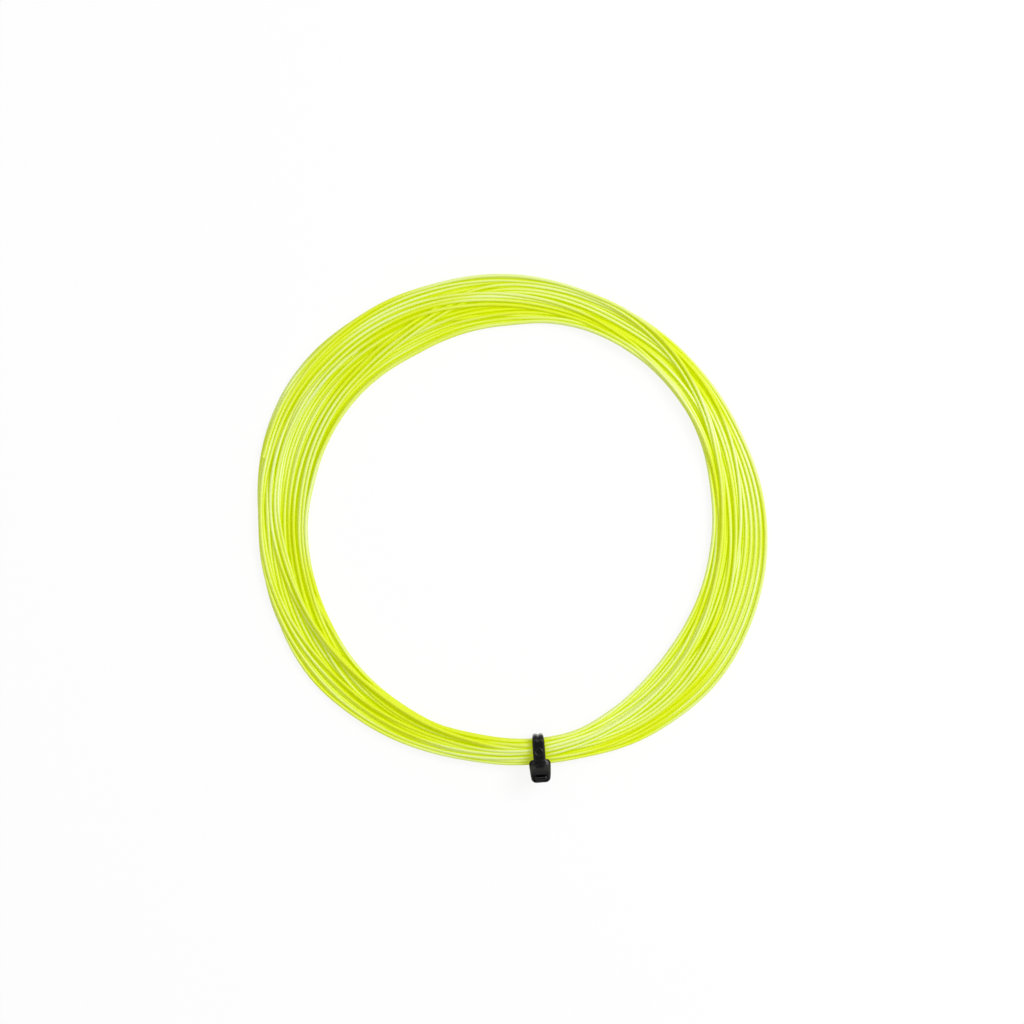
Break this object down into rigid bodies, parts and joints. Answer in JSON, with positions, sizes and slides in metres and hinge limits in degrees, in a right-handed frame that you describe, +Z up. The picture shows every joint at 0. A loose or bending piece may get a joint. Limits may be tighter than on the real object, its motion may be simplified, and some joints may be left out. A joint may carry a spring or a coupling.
{
  "type": "racket string coil",
  "caption": "Flat round coil of racket string, its piled loops drawn together at one place by a small cable tie with a toothed strap, slotted head and sprung pawl.",
  "frame": {"origin": "on the table, at the middle of the coil's outline seen from above, tie included", "axes": "+Z up out of the flat coil, -Y towards the cable tie, +X to the right when the tie is nearest the viewer"},
  "size_m": [0.1052, 0.1038, 0.0085],
  "materials": {
    "string": "smooth coated nylon, fluorescent yellow",
    "tie_nylon": "moulded black nylon, satin"
  },
  "bodies": {
    "coil": {"string_coil": "string", "tie_strap": "tie_nylon", "tie_head": "tie_nylon"},
    "pawl": {"tie_pawl": "tie_nylon"}
  },
  "joints": [
    {"name": "pawl_flex", "type": "hinge", "parent": "coil", "child": "pawl", "pos_m": [0.00622, -0.04988, 0.00567], "axis": [-0.9974, -0.0727, 0], "range_deg": [0, 12], "stiffness_Nm_per_rad": 0.0005}
  ]
}
